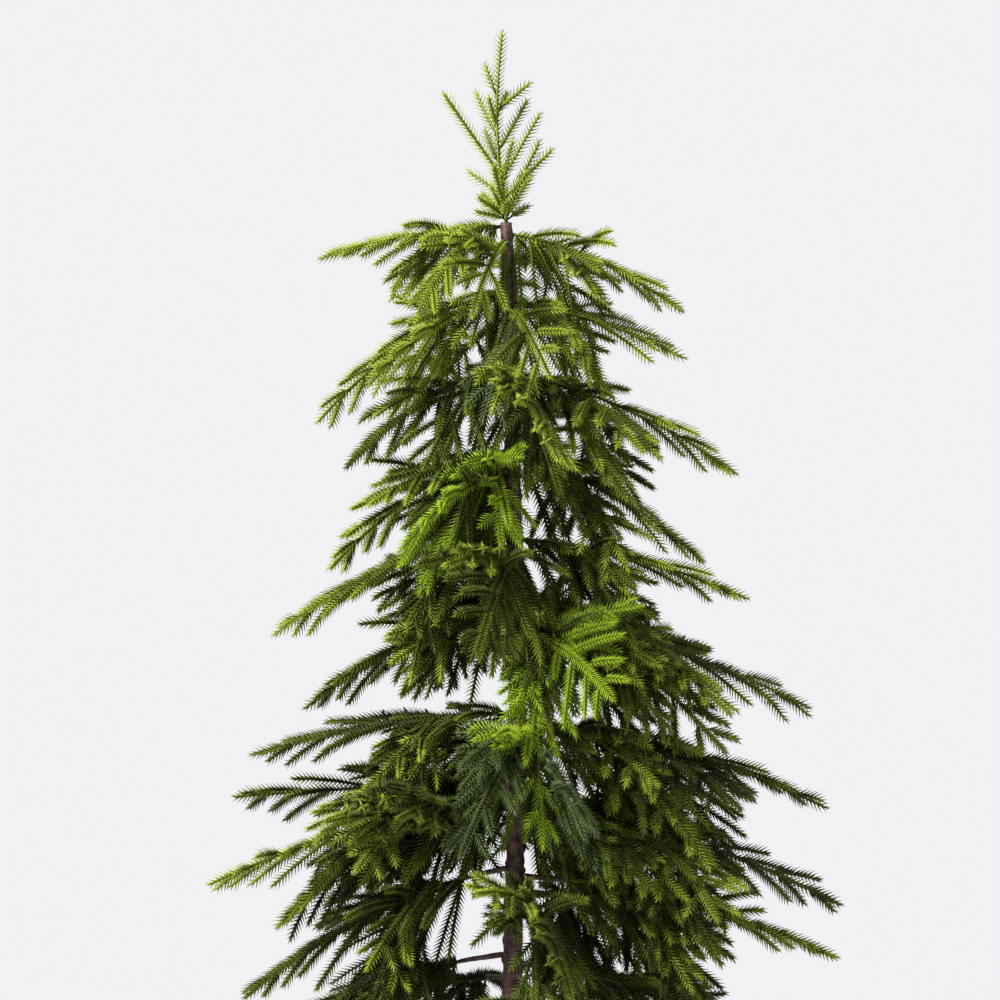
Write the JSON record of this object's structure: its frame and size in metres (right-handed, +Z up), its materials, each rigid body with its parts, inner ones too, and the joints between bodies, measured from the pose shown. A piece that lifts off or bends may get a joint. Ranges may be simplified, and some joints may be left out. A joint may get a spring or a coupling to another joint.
{
  "type": "artificial potted norfolk island pine",
  "caption": "Artificial Norfolk Island pine: slim bark-textured pole with whorls of drooping boughs and flat sprays of soft moulded needles, in a plain tapered pot.",
  "frame": {"origin": "centre of the pot's flat underside", "axes": "+Z up along the trunk to the leader's tip, -Y the front as pictured, +X to the right seen from the front"},
  "size_m": [0.9533, 0.8294, 2.13],
  "materials": {
    "pot_plastic": "matte",
    "soil_fill": "rough",
    "bark_pole": "rough",
    "bough_wire": "matte",
    "needle_foliage": "satin"
  },
  "bodies": {
    "root": {"bough_09_back": "bough_wire", "bough_09_front": "bough_wire", "bough_09_left": "bough_wire", "bough_09_right": "bough_wire", "bough_10_back": "bough_wire", "bough_10_front": "bough_wire", "bough_10_left": "bough_wire", "bough_10_right": "bough_wire", "bough_11_back": "bough_wire", "bough_11_front": "bough_wire", "bough_11_left": "bough_wire", "bough_11_right": "bough_wire", "foliage_01_back": "needle_foliage", "foliage_01_front": "needle_foliage", "foliage_01_left": "needle_foliage", "foliage_01_right": "needle_foliage", "foliage_02_back": "needle_foliage", "foliage_02_front": "needle_foliage", "foliage_02_left": "needle_foliage", "foliage_02_right": "needle_foliage", "foliage_03_back": "needle_foliage", "foliage_03_front": "needle_foliage", "foliage_03_left": "needle_foliage", "foliage_03_right": "needle_foliage", "foliage_04_back": "needle_foliage", "foliage_04_front": "needle_foliage", "foliage_04_left": "needle_foliage", "foliage_04_right": "needle_foliage", "foliage_05_back": "needle_foliage", "foliage_05_front": "needle_foliage", "foliage_05_left": "needle_foliage", "foliage_05_right": "needle_foliage", "foliage_06_back": "needle_foliage", "foliage_06_front": "needle_foliage", "foliage_06_left": "needle_foliage", "foliage_06_right": "needle_foliage", "foliage_07_back": "needle_foliage", "foliage_07_front": "needle_foliage", "foliage_07_left": "needle_foliage", "foliage_07_right": "needle_foliage", "foliage_08_back": "needle_foliage", "foliage_08_front_left": "needle_foliage", "foliage_08_left": "needle_foliage", "foliage_08_right": "needle_foliage", "foliage_09_back": "needle_foliage", "foliage_09_front": "needle_foliage", "foliage_09_left": "needle_foliage", "foliage_09_right": "needle_foliage", "foliage_10_back": "needle_foliage", "foliage_10_front": "needle_foliage", "foliage_10_left": "needle_foliage", "foliage_10_right": "needle_foliage", "foliage_11_back": "needle_foliage", "foliage_11_front": "needle_foliage", "foliage_11_left": "needle_foliage", "foliage_11_right": "needle_foliage", "foliage_leader": "needle_foliage", "pot": "pot_plastic", "potting_soil": "soil_fill", "trunk": "bark_pole"}
  },
  "joints": []
}
